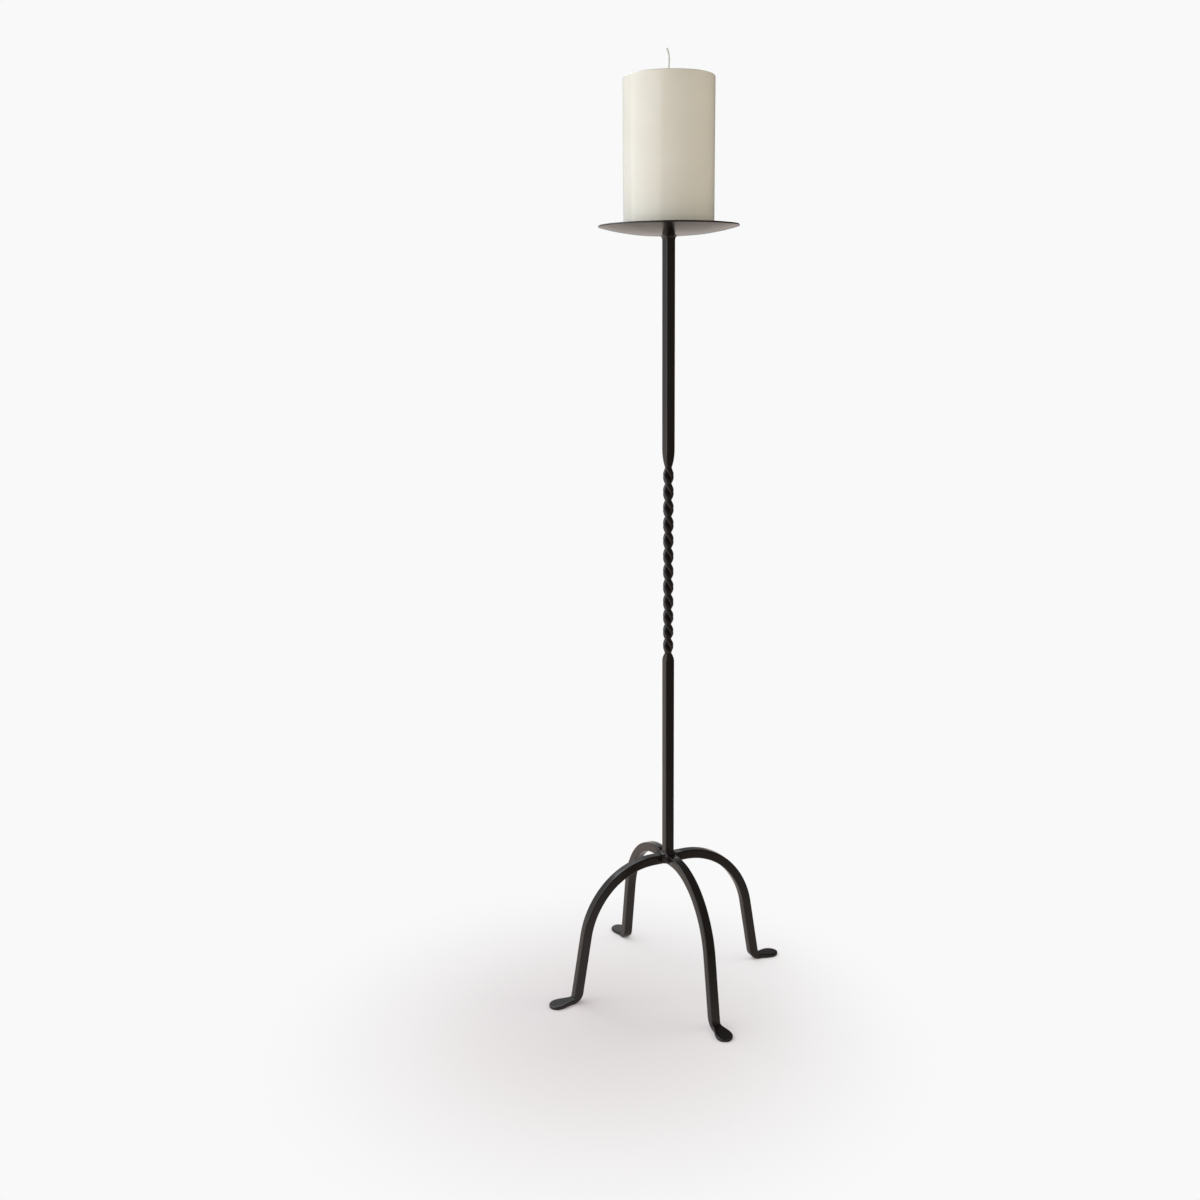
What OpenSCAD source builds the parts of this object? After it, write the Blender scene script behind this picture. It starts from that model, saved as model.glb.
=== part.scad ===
// Torchere candle stand in forged square bar: four arched legs, a stem with a
// twisted two-strand neck, a dished drip pan and a pillar candle on a spike.
// Millimetres. +Z is up, the legs point along +X, +Y, -X and -Y, and the origin
// is on the floor, under the middle of the stem.

/* [Bar stock] */
// Width of the square bar that the stem and the legs are forged from
bar_w = 10; // [8:0.1:14]
// Radius of the bar's softened edges
bar_edge_r = 1; // [0.4:0.1:2]

/* [Heights] */
// Height of the pan's rim above the floor
rim_h = 812; // [620:1:1100]
// Height of the middle of the leg bars where they leave the stem
hub_h = 146; // [130:0.5:170]
// Height of the lower end of the twist
twist_h = 375.5; // [220:0.5:400]

/* [Legs] */
// Distance from the stem's axis at which a leg starts to bend down
leg_run = 19; // [16:0.5:26]
// Radius of the arch's first bend, at the middle of the bar
arch_r1 = 77.5; // [65:0.5:85]
// Angle of the first bend
arch_a1 = 46; // [35:1:50]
// Radius of the arch's second bend, at the middle of the bar
arch_r2 = 92.5; // [80:0.5:110]
// Slope of the shin below level, after both bends
shin_a = 80.2; // [74:0.1:86]
// Angle by which each hand-set leg lies off square: right, back, left, front
leg_off_a = [1.1, -1.6, 0.7, -2.3]; // [-3:0.1:3]

/* [Feet] */
// Radius of the rounded heel
heel_r = 13; // [11:0.5:18]
// Radius inside the crease above the pad
crease_r = 1.2; // [0.5:0.1:3]
// Thickness of the pad at the crease
pad_t = 5.2; // [3:0.1:6.5]
// Thickness of the pad at its tip
pad_tip_t = 3; // [1.5:0.1:4]
// Width of the pad where it is widest
pad_w = 18; // [12:0.5:24]
// Length of the pad from the heel's centre to its tip
pad_l = 25; // [20:0.5:36]

/* [Twist] */
// Length of the twist
twist_l = 197; // [60:0.5:240]
// Number of half turns
twist_half_turns = 12; // [4:1:16]
// Share by which the turns are tighter at the bottom, and looser at the top
twist_tighten = 0.05; // [0:0.01:0.2]
// Width of one strand
strand_w = 6.7; // [4:0.1:8]
// Thickness of one strand, outwards from the stem's axis
strand_t = 5.2; // [3.5:0.1:6.5]
// Radius of a strand's edges
strand_edge_r = 1.4; // [0.4:0.1:1.6]
// Gap between the two strands
strand_gap = 0.3; // [0.2:0.1:1]
// Direction in which the first strand starts
twist_start_a = 62; // [0:1:180]
// Length over which the strands draw in at each end
strand_end_l = 7; // [4:0.5:12]
// Width of the drawn-down tips of the two bars
tip_w = 6.6; // [5:0.1:9]
// Length of the taper at the top of the lower bar
lower_taper_l = 9; // [5:0.5:20]
// Length of the taper at the bottom of the upper bar
upper_taper_l = 19; // [5:0.5:24]
// Fullness of the tapers: 1 is straight, and more bulges out
taper_full = 2.2; // [1:0.1:4]
// Turn of the upper bar against the lower one
upper_turn_a = 5; // [-10:0.5:10]

/* [Drip pan] */
// Radius of the pan
pan_r = 70; // [60:0.5:90]
// Thickness of the sheet
pan_wall = 1.6; // [0.8:0.1:2.5]
// Slope of the pan's straight outer part
pan_slope_a = 15; // [6:0.1:20]
// Width of the pan's straight outer part, with the lip
pan_flare_w = 4; // [2:0.5:40]
// Width of the pan's flat seat beyond the bead under it
pan_seat_w = 1.2; // [0.5:0.1:4]

/* [Welds] */
// Size of the fillets on top of the legs, against the stem
hub_weld = 3.2; // [1.5:0.1:5]
// Size of the upright fillets in the corners between the legs
corner_weld = 4.6; // [1.5:0.1:8]
// Width of the bead under the pan, beyond the bar's corners
pan_weld = 2.6; // [0.5:0.1:4]
// Height of the bead under the pan
pan_weld_h = 3; // [2:0.1:6]
// Thickness of a weld at its thin edge
weld_toe = 0.3; // [0.1:0.05:0.5]

/* [Spike] */
// Radius of the spike where it passes through the pan
spike_r = 2.5; // [1.5:0.1:4]
// Radius of the spike's blunt point
spike_tip_r = 0.4; // [0.2:0.1:1]
// Height of the spike above the pan's seat
spike_h = 24; // [15:1:35]
// Gap round the spike in the pan's hole
spike_gap = 0.1; // [0.05:0.05:0.3]

/* [Candle] */
// Radius of the candle
candle_r = 45.1; // [35:0.1:52]
// Height of the candle
candle_h = 144; // [80:0.5:220]
// Radius of the candle's top edge
candle_edge_r = 1.5; // [0.5:0.1:6]
// Radius of the candle's bottom edge
candle_foot_r = 1; // [0.4:0.1:3]
// Gap between the candle and what it stands on and over
candle_gap = 0.3; // [0.2:0.05:0.6]
// Radius of the wick
wick_r = 1.05; // [0.6:0.05:2]
// Height of the wick's straight part above the wax
wick_h = 15.5; // [5:0.5:20]
// Radius of the bend at the top of the wick
wick_bend_r = 24; // [10:1:60]
// Angle of the bend at the top of the wick
wick_bend_a = 26; // [5:1:45]

/* [Hidden] */
black = "#2b2826";
ivory = "#ddd6c4";
cotton = "#d9d7d2";
corner_steps = 2;
taper_steps = 6;
arc_fn = 96;
ring_fn = 180;
// An edge's radius is at most this share of the thickness that it rounds.
round_share = 0.4;
// A cutting solid runs past what it cuts by this much.
past = 1;

// Rounded rectangle, counter-clockwise: size a along the first axis, b along
// the second, with edge radius r.
function rounded_rect(a, b, r) = [
    for (q = [0 : 3], i = [0 : corner_steps])
        let (
            sx = (q == 0 || q == 3) ? 1 : -1,
            sy = (q < 2) ? 1 : -1,
            t = 90 * (q + i / corner_steps)
        )
        [sx * (a / 2 - r) + r * cos(t), sy * (b / 2 - r) + r * sin(t)]
];

// Closed solid through rings of points, each ring with the same count.
module skin(rings) {
    n = len(rings[0]);
    m = len(rings);
    sides = [
        for (k = [0 : m - 2], i = [0 : n - 1])
            let (
                a = k * n + i,
                b = k * n + (i + 1) % n
            )
            each [[a, a + n, b], [b, a + n, b + n]]
    ];
    polyhedron(
        points = [for (ring = rings) each ring],
        faces = concat(
            sides,
            [[for (i = [0 : n - 1]) i]],
            [[for (i = [n - 1 : -1 : 0]) (m - 1) * n + i]]
        ),
        convexity = 8
    );
}

// ---- bars ----

hub_bottom = hub_h - bar_w / 2;
hub_top = hub_h + bar_w / 2;
twist_top = twist_h + twist_l;
// Distance from the stem's axis to the outside of its rounded corners
stem_corner_r = (bar_w / 2 - bar_edge_r) * sqrt(2) + bar_edge_r;
pan_bead_r = stem_corner_r + pan_weld;
pan_seat_r = pan_bead_r + pan_seat_w;
pan_bowl_r = pan_r - pan_flare_w;
pan_bowl_h = (pan_bowl_r - pan_seat_r) * tan(pan_slope_a / 2);
lip_r = pan_wall / 2;
// Height of the middle of the pan's rounded lip above its seat's underside
lip_h = pan_bowl_h + (pan_r - lip_r - pan_bowl_r) * tan(pan_slope_a) + lip_r / cos(pan_slope_a);
pan_depth = lip_h + lip_r;
seat_h = rim_h - pan_depth;

module bar_outline() {
    polygon(rounded_rect(bar_w, bar_w, bar_edge_r));
}

module bar(l) {
    linear_extrude(l) bar_outline();
}

// Width of a drawn-down end, from the full bar at s = 0 to its tip at s = 1.
function taper_w(s) = tip_w + (bar_w - tip_w) * (1 - pow(s, taper_full));

// A bar's end, drawn down to the tip that the strands are welded to.
module taper(l) {
    skin([
        for (k = [0 : taper_steps])
            let (s = k / taper_steps, w = taper_w(s))
            [for (p = rounded_rect(w, w, bar_edge_r * w / bar_w)) [p[0], p[1], l * s]]
    ]);
}

module lower_bar() {
    shoulder_h = twist_h - lower_taper_l;
    color(black) {
        translate([0, 0, hub_bottom]) bar(shoulder_h - hub_bottom);
        translate([0, 0, shoulder_h]) taper(lower_taper_l);
    }
}

module upper_bar() {
    shoulder_h = twist_top + upper_taper_l;
    color(black) rotate(upper_turn_a) translate([0, 0, shoulder_h]) {
        bar(seat_h - shoulder_h);
        mirror([0, 0, 1]) taper(upper_taper_l);
    }
}

// ---- twist ----

twist_steps = 10 * twist_half_turns;

// Share of the full strand at height z: 0 at the twist's ends, 1 inside.
function strand_share(z) =
    let (s = min(1, min(z, twist_l - z) / strand_end_l)) s * s * (3 - 2 * s);

// Share of the twist's turns that lie below the height z
function turned(z) =
    let (s = z / twist_l) s + twist_tighten * s * (1 - s);

// One ring of a strand, square to the stem. It turns left-handed as it climbs.
// At the twist's ends the two strands together are as thick as one is wide.
function strand_ring(z) =
    let (
        end_w = (strand_w - strand_gap) / 2,
        out = end_w + (strand_t - end_w) * strand_share(z),
        r = min(strand_edge_r, round_share * out),
        a = twist_start_a - 180 * twist_half_turns * turned(z)
    )
    [
        for (p = rounded_rect(out, strand_w, r))
            let (x = p[0] + (out + strand_gap) / 2)
            [x * cos(a) - p[1] * sin(a), x * sin(a) + p[1] * cos(a), z]
    ];

module twist_strand() {
    color(black) translate([0, 0, twist_h])
        skin([for (k = [0 : twist_steps]) strand_ring(twist_l * k / twist_steps)]);
}

module twist_strand_a() {
    twist_strand();
}

module twist_strand_b() {
    rotate(180) twist_strand();
}

// ---- legs ----
// A leg is one bar, swept from the stem's face over the arch, down the shin,
// round the heel and out along the pad. It is drawn along +X, and its points
// are [distance from the stem's axis, height].

arch_c1 = [leg_run, hub_h - arch_r1];
arch_c2 = arch_c1 + (arch_r1 - arch_r2) * [sin(arch_a1), cos(arch_a1)];
shin_dir = [cos(shin_a), -sin(shin_a)];
// Direction from the shin's heel side to its outer side
shin_side = [sin(shin_a), cos(shin_a)];
shin_top = arch_c2 + arch_r2 * shin_side;
shin_l = (shin_top[1] - heel_r + (heel_r - bar_w / 2) * cos(shin_a)) / sin(shin_a);
shin_end = shin_top + shin_l * shin_dir;
heel_c = shin_end + (heel_r - bar_w / 2) * shin_side;
crease_h = pad_t + crease_r;
crease_c = [
    heel_c[0] + (bar_w - heel_r + crease_r - (crease_h - heel_r) * cos(shin_a)) / sin(shin_a),
    crease_h
];
arch_steps = 10;
heel_steps = 10;
pad_steps = 12;
// Share of the pad's flare that the bar has gained at the heel's end
heel_flare = 0.12;
// Width left at the pad's very tip, as a share
pad_blunt = 0.2;

// One ring of the leg, from the point on its underside to the one on its top.
function leg_ring(under, over, w, r) =
    let (
        across = over - under,
        t = norm(across),
        mid = (under + over) / 2
    )
    [
        for (p = rounded_rect(t, w, r))
            let (q = mid + across * (p[0] / t))
            [q[0], -p[1], q[1]]
    ];

// A ring of the plain bar, where it lies on a bend of radius r round c and
// slopes down by the angle a.
function arch_ring(c, r, a) =
    let (side = [sin(a), cos(a)])
    leg_ring(c + (r - bar_w / 2) * side, c + (r + bar_w / 2) * side, bar_w, bar_edge_r);

// The bend at the heel: the sole goes round the heel while the top runs down
// the shin and then round the crease. s goes from 0 to 1.
function heel_ring(s) =
    let (
        a = shin_a * (1 - s),
        b = shin_a * (2 - 2 * s),
        shin_over = shin_end + bar_w / 2 * shin_side,
        crease_over = crease_c - crease_r * shin_side,
        over = s < 0.5
            ? shin_over + (crease_over - shin_over) * 2 * s
            : crease_c - crease_r * [sin(b), cos(b)]
    )
    leg_ring(
        heel_c - heel_r * [sin(a), cos(a)],
        over,
        bar_w + (pad_w - bar_w) * heel_flare * s * s,
        bar_edge_r
    );

// The pad: it thins and widens towards a rounded tip. s goes from 0 to 1.
function pad_ring(s) =
    let (
        round_l = pad_w / 2,
        x = pad_l * s,
        flare = min(1, heel_flare + (1 - heel_flare) * x / (pad_l - round_l)),
        soft = flare * flare * (3 - 2 * flare),
        end = max(0, x - pad_l + round_l) / round_l,
        w = (bar_w + (pad_w - bar_w) * soft) * sqrt(1 - (1 - pad_blunt * pad_blunt) * end * end),
        t = pad_t + (pad_tip_t - pad_t) * s,
        over_x = crease_c[0] + (heel_c[0] + pad_l - crease_c[0]) * s
    )
    leg_ring([heel_c[0] + x, 0], [over_x, t], w, min(bar_edge_r, round_share * t));

leg_rings = concat(
    [arch_ring([bar_w / 2, arch_c1[1]], arch_r1, 0)],
    [for (k = [0 : arch_steps]) arch_ring(arch_c1, arch_r1, arch_a1 * k / arch_steps)],
    [
        for (k = [1 : arch_steps])
            arch_ring(arch_c2, arch_r2, arch_a1 + (shin_a - arch_a1) * k / arch_steps)
    ],
    [for (k = [0 : heel_steps]) heel_ring(k / heel_steps)],
    [for (k = [1 : pad_steps]) pad_ring(sin(90 * k / pad_steps))]
);

// The leg leaves the stem square on, past the welds, and from its first bend
// it lies off square by off_a.
module leg(off_a) {
    color(black) skin([
        for (ring = leg_rings)
            [for (p = ring) [p[0], p[1] + max(0, p[0] - leg_run) * tan(off_a), p[2]]]
    ]);
}

module leg_right() {
    leg(leg_off_a[0]);
}

module leg_back() {
    rotate(90) leg(leg_off_a[1]);
}

module leg_left() {
    rotate(180) leg(leg_off_a[2]);
}

module leg_front() {
    rotate(270) leg(leg_off_a[3]);
}

// A concave fillet in the corner of the first quadrant, along +Z.
module fillet(size, l) {
    linear_extrude(l)
        difference() {
            square(size);
            translate([size, size]) circle(size - weld_toe, $fn = 48);
        }
}

// The fillets on top of the legs, and the upright ones between the legs.
module hub_welds() {
    l = bar_w - 2 * bar_edge_r;
    color(black)
        for (a = [0 : 90 : 270])
            rotate(a) {
                translate([bar_w / 2, l / 2, hub_top]) rotate([90, 0, 0]) fillet(hub_weld, l);
                translate([bar_w / 2, bar_w / 2, hub_h - l / 2]) fillet(corner_weld, l);
            }
}

// ---- pan, spike and candle ----

pan_bowl_curve_r = (pan_bowl_r - pan_seat_r) / sin(pan_slope_a);
pan_steps = 8;
lip_steps = 9;
pan_hole_r = spike_r + spike_gap;

// Points of the round bowl, from its seat outwards, at the distance lift from
// the underside.
function bowl_points(lift) = [
    for (i = [0 : pan_steps])
        let (
            a = pan_slope_a * i / pan_steps,
            r = pan_bowl_curve_r - lift
        )
        [pan_seat_r + r * sin(a), lift + r * (1 - cos(a))]
];

// Height of the pan's upper surface over its seat's underside, at the radius r,
// in the bowl or in the straight part.
function pan_top(r) =
    r < pan_bowl_r
        ? pan_bowl_curve_r - sqrt(pow(pan_bowl_curve_r - pan_wall, 2) - pow(r - pan_seat_r, 2))
        : pan_bowl_h + (r - pan_bowl_r) * tan(pan_slope_a) + pan_wall / cos(pan_slope_a);

module pan_outline() {
    inner = bowl_points(pan_wall);
    lip_c = [pan_r - lip_r, lip_h];
    polygon(concat(
        [[pan_hole_r, 0]],
        bowl_points(0),
        [
            for (i = [0 : lip_steps])
                let (a = pan_slope_a - 90 + 180 * i / lip_steps)
                lip_c + lip_r * [cos(a), sin(a)]
        ],
        [for (i = [pan_steps : -1 : 0]) inner[i]],
        [[pan_hole_r, pan_wall]]
    ));
}

module drip_pan() {
    color(black) translate([0, 0, seat_h])
        rotate_extrude($fn = ring_fn) pan_outline();
}

// The bead between the stem's top and the underside of the pan, hollow like a
// trumpet's flare. The stem passes through it.
module pan_weld_bead() {
    color(black) translate([0, 0, seat_h - pan_weld_h])
        difference() {
            rotate_extrude($fn = arc_fn)
                polygon(concat(
                    [[0, 0]],
                    [
                        for (a = [0 : 15 : 90])
                            [stem_corner_r + weld_toe + (pan_weld - weld_toe) * (1 - cos(a)),
                             pan_weld_h * sin(a)]
                    ],
                    [[0, pan_weld_h]]
                ));
            translate([0, 0, -past]) rotate(upper_turn_a) bar(pan_weld_h + 2 * past);
        }
}

// The pricket that keeps the candle upright. It stands on the stem's top.
module candle_spike() {
    color(black) translate([0, 0, seat_h])
        rotate_extrude($fn = arc_fn)
            polygon([
                [0, 0],
                [spike_r, 0],
                [spike_r, pan_wall],
                [spike_tip_r, pan_wall + spike_h - spike_tip_r],
                [0, pan_wall + spike_h]
            ]);
}

candle_bottom = seat_h + pan_top(candle_r - candle_foot_r) + candle_gap;
candle_top = candle_bottom + candle_h;
// The hole for the spike narrows like the spike, with the gap all round.
hole_mouth_r = spike_r + candle_gap;
hole_top = seat_h + pan_wall + spike_h + candle_gap;

// Points of a round edge of radius r at the candle's side, centred at height h.
function candle_edge(h, r, from_a) = [
    for (i = [0 : 5])
        let (a = from_a + 18 * i)
        [candle_r - r + r * cos(a), h + r * sin(a)]
];

module candle_wax() {
    color(ivory) rotate_extrude($fn = ring_fn)
        polygon(concat(
            [[hole_mouth_r, candle_bottom]],
            candle_edge(candle_bottom + candle_foot_r, candle_foot_r, -90),
            candle_edge(candle_top - candle_edge_r, candle_edge_r, 0),
            [[wick_r, candle_top], [wick_r, hole_top]]
        ));
}

module candle_wick() {
    bend_h = candle_top + wick_h;
    color(cotton) {
        translate([0, 0, hole_top]) cylinder(r = wick_r, h = bend_h - hole_top, $fn = 24);
        translate([-wick_bend_r, 0, bend_h]) rotate([90, 0, 0])
            rotate_extrude(angle = wick_bend_a, $fn = arc_fn)
                translate([wick_bend_r, 0]) circle(wick_r, $fn = 24);
    }
}

lower_bar();
upper_bar();
twist_strand_a();
twist_strand_b();
leg_right();
leg_back();
leg_left();
leg_front();
hub_welds();
drip_pan();
pan_weld_bead();
candle_spike();
candle_wax();
candle_wick();
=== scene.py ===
"""Looks of a tall floor candle stand in forged square bar, with a pillar candle.

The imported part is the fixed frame. Its pieces are modelled again here at the same
size and place, with the softened edges, hammer marks, weld beads, wax and braided
cotton of the real ones. Lengths are in metres; MM turns millimetres into them.
"""

from math import cos, pi, radians, sin, sqrt, tan

import bmesh
import bpy
import numpy as np
from mathutils import Matrix, Vector, noise


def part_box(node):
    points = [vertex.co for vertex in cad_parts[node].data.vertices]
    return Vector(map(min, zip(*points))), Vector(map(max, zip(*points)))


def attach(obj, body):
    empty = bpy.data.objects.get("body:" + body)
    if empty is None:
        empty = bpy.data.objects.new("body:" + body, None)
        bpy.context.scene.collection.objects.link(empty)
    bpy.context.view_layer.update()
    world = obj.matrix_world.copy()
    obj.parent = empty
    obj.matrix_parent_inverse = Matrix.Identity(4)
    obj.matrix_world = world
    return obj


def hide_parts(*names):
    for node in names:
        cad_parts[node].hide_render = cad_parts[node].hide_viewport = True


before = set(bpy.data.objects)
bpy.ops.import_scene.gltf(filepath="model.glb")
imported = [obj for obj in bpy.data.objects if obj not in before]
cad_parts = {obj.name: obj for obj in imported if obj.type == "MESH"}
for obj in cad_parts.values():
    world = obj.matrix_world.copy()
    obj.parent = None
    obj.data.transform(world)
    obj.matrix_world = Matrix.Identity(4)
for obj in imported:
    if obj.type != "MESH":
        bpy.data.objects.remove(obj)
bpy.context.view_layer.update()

MM = 0.001

# ---- sizes taken from the frame ----

BAR_W = (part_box("lower_bar")[1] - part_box("lower_bar")[0]).x
HUB_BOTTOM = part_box("lower_bar")[0].z
HUB_MIDDLE = HUB_BOTTOM + BAR_W / 2
HUB_TOP = HUB_BOTTOM + BAR_W
TWIST_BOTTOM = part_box("lower_bar")[1].z
TWIST_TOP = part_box("upper_bar")[0].z
SEAT_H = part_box("upper_bar")[1].z
PAN_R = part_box("drip_pan")[1].x
RIM_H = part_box("drip_pan")[1].z
SPIKE_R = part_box("candle_spike")[1].x
CANDLE_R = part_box("candle_wax")[1].x
CANDLE_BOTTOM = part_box("candle_wax")[0].z
CANDLE_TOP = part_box("candle_wax")[1].z

# ---- sizes of the forged bar ----

# The stem's two bars. Each is drawn down to a tip where the twist begins.
BAR_EDGE_R = 1.15 * MM
TIP_W = 6.6 * MM
LOWER_TAPER_L = 9 * MM
UPPER_TAPER_L = 19 * MM
TAPER_BULGE = 2.2
TIP_EDGE_R = 2.4 * MM
TIP_ROUND = 0.6 * MM
UPPER_TURN = radians(5)

# Each leg's direction and the angle by which it lies off square, in degrees.
LEGS = {
    "leg_right": (0, 1.1),
    "leg_back": (90, -1.6),
    "leg_left": (180, 0.7),
    "leg_front": (270, -2.3),
}
# A leg runs level, arches down in two curves, goes straight down its shin and turns at
# the heel into a flat pad, with a tight crease on top of the bend.
LEG_RUN = 19 * MM
ARCH_R1 = 77.5 * MM
ARCH_A1 = radians(46)
ARCH_R2 = 92.5 * MM
SHIN_A = radians(80.2)
HEEL_R = 13 * MM
CREASE_R = 1.2 * MM
PAD_T = 5.2 * MM
PAD_TIP_T = 3 * MM
PAD_W = 18 * MM
PAD_L = 25 * MM
HEEL_FLARE = 0.12
PAD_BLUNT = 0.2
PAD_ROUND = 0.4

# The twist's two strands. Their ends thin down, and the turns are tighter at the bottom.
STRAND_W = 6.7 * MM
STRAND_T = 5.2 * MM
STRAND_GAP = 0.3 * MM
STRAND_EDGE_R = 2.3 * MM
STRAND_ROUND = 0.44
STRAND_END_L = 7 * MM
HALF_TURNS = 12
TWIST_TIGHTEN = 0.05
TWIST_START = radians(62)

# How deep the hammer's dents are, and how far apart.
STEM_DENTS = (0.08 * MM, 12 * MM)
STRAND_DENTS = (0.03 * MM, 7 * MM)
LEG_DENTS = (0.10 * MM, 12 * MM)

# ---- sizes of the welds, the pan, the candle and the wick ----

# How far the hub's welds reach out, their thin edge, and their root inside the bars.
HUB_WELD = 3.4 * MM
CORNER_WELD = 4.8 * MM
WELD_TOE = 0.05 * MM
WELD_ROOT = 0.5 * MM
WELD_THINNING = 0.97
WELD_LUMP = 0.15 * MM
WELD_LUMP_SIZE = 3 * MM

# The weld under the pan. Its core is the share of the bar at which it closes.
PAN_WELD_H = 3.8 * MM
PAN_BEAD_R = 11.2 * MM
PAN_BEAD_CORE = 0.6
PAN_BEAD_INSET = 0.3 * MM

PAN_WALL = 1.6 * MM
PAN_SLOPE = radians(15)
PAN_BOWL_R = 66 * MM
PAN_SEAT_R = 10.46 * MM
PAN_HOLE_R = SPIKE_R + 0.1 * MM
PAN_WAVE = 0.35 * MM
PAN_WAVE_SIZE = 16 * MM

CANDLE_EDGE_R = 1.5 * MM
CANDLE_FOOT_R = 1 * MM
CANDLE_DIP_R = 16 * MM
CANDLE_DIP_H = 0.8 * MM
CANDLE_SOCKET_R = SPIKE_R + 0.3 * MM
CANDLE_SOCKET_L = 20 * MM
CANDLE_BORE_R = 0.84 * MM
CANDLE_HOLLOW = 0.25 * MM
CANDLE_HOLLOW_SIZE = 24 * MM
CANDLE_HOLLOW_STRETCH = 0.35

# The wick stands up from its root in the wax, sways a little and bends over.
WICK_H = 15.5 * MM
WICK_ROOT_L = 3 * MM
WICK_STRAIGHT = WICK_H + WICK_ROOT_L
WICK_BEND_R = 24 * MM
WICK_BEND = radians(26)
WICK_L = WICK_STRAIGHT + WICK_BEND_R * WICK_BEND
WICK_SET = 0.3 * MM
WICK_SWAY = 0.6 * MM
WICK_SWAY_L = 6.5 * MM

# Its braid of plies, frayed at the tip. Its ends and starts are shares of its length.
PLY_R = 0.55 * MM
PLY_COUNT = 3
PLY_SIDES = 10
BRAID_PITCH = 4.2 * MM
BRAID_W = 0.5 * MM
BRAID_T = 0.3 * MM
BRAID_END = 0.985
FRAY_START = 0.9
FRAY_SPREAD = 0.5
FRAY_TIP = 0.97
FRAY_TIP_R = 0.75
LOOK_AHEAD = 0.01

# Moves the noise by this much for each seed.
SEED_SHIFT = Vector((7.3, 3.1, 5.7))

# ---- the photograph's camera, found from the stand's own lines ----

IMAGE_W = 1200
FOCAL_PX = 1322.76
CAMERA_PLACE = (-0.6292, -1.2044, 0.7215)
CAMERA_TURN = radians(24.564)
CAMERA_PITCH = radians(11.976)
CAMERA_ROLL = radians(-0.556)
SENSOR_W = 36.0
CLIP_START = 0.05

# ---- how finely the meshes are drawn ----

CORNER_STEPS = 6
FACE_STEPS = 4
STEM_STEP = 3 * MM
TAPER_STEPS = 12
STRAND_STEPS = 24
ARCH_TOP_STEPS = 22
ARCH_SIDE_STEPS = 24
SHIN_STEPS = 18
FOOT_STEPS = 25
BEAD_STEPS = 41
BEAD_ARC_STEPS = 9
PAN_BEAD_TURNS = 96
PAN_BEAD_STEPS = 14
PAN_TURNS = 240
PAN_BOWL_STEPS = 24
PAN_LIP_STEPS = 17
CANDLE_TURNS = 256
CANDLE_STEPS = 30
CANDLE_EDGE_STEPS = 9
WICK_STEPS = 90


# ---- meshes ----


def object_from(name, points, faces):
    """An object whose faces all look outwards, smooth-shaded but for its flat ends."""
    mesh = bpy.data.meshes.new(name)
    mesh.from_pydata([tuple(p) for p in points], [], faces)
    shell = bmesh.new()
    shell.from_mesh(mesh)
    bmesh.ops.recalc_face_normals(shell, faces=shell.faces)
    for face in shell.faces:
        face.smooth = len(face.verts) <= 4
    shell.to_mesh(mesh)
    shell.free()
    made = bpy.data.objects.new(name, mesh)
    bpy.context.scene.collection.objects.link(made)
    return made


def skin(rings):
    """Points and faces of a closed solid through rings with equally many points."""
    count, n = rings.shape[:2]
    faces = [
        (k * n + i, k * n + (i + 1) % n, (k + 1) * n + (i + 1) % n, (k + 1) * n + i)
        for k in range(count - 1)
        for i in range(n)
    ]
    faces.append(tuple(range(n)))
    faces.append(tuple(range((count - 1) * n, count * n)))
    return rings.reshape(-1, 3), faces


def joined(name, parts):
    """One object from several (points, faces) pairs."""
    points, faces, start = [], [], 0
    for part_points, part_faces in parts:
        points.extend(part_points)
        faces.extend(tuple(start + i for i in face) for face in part_faces)
        start += len(part_points)
    return object_from(name, points, faces)


def lathe(profile, turns):
    """Points and faces of a solid with a hole, turned round the stem's axis from a closed
    outline of (radius, height) points."""
    profile = np.array(profile)
    angles = np.arange(turns) * 2 * pi / turns
    points = np.stack(
        [
            np.outer(profile[:, 0], np.cos(angles)),
            np.outer(profile[:, 0], np.sin(angles)),
            np.repeat(profile[:, 1:2], turns, axis=1),
        ],
        axis=-1,
    )
    count = len(profile)
    faces = [
        (
            k * turns + i,
            k * turns + (i + 1) % turns,
            (k + 1) % count * turns + (i + 1) % turns,
            (k + 1) % count * turns + i,
        )
        for k in range(count)
        for i in range(turns)
    ]
    return points.reshape(-1, 3), faces


def dents(points, size, seed):
    """Smooth noise between 0 and 1 at each point, with lumps of about that size."""
    shift = SEED_SHIFT * seed
    return np.array([noise.noise(Vector(p) / size + shift) for p in points]) / 2 + 0.5


def away_from_axis(points):
    """Level unit vectors from the stem's axis out to each point."""
    out = points * (1, 1, 0)
    return out / np.linalg.norm(out, axis=1)[:, None]


def bar_section(width, depth, edge_r):
    """Points and outward normals of a square bar's section, counter-clockwise."""
    points, normals = [], []
    for quarter in range(4):
        sx = 1 if quarter in (0, 3) else -1
        sy = 1 if quarter in (0, 1) else -1
        centre = np.array([sx * (width / 2 - edge_r), sy * (depth / 2 - edge_r)])
        for i in range(CORNER_STEPS + 1):
            t = pi / 2 * (quarter + i / CORNER_STEPS)
            normals.append((cos(t), sin(t)))
            points.append(centre + edge_r * np.array(normals[-1]))
    points, normals = np.array(points), np.array(normals)
    full_points, full_normals = [], []
    for i in range(len(points)):
        full_points.append(points[i])
        full_normals.append(normals[i])
        if i % (CORNER_STEPS + 1) == CORNER_STEPS:
            after = points[(i + 1) % len(points)]
            for k in range(1, FACE_STEPS + 1):
                full_points.append(points[i] + (after - points[i]) * k / (FACE_STEPS + 1))
                full_normals.append(normals[i])
    return np.array(full_points), np.array(full_normals)


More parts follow.
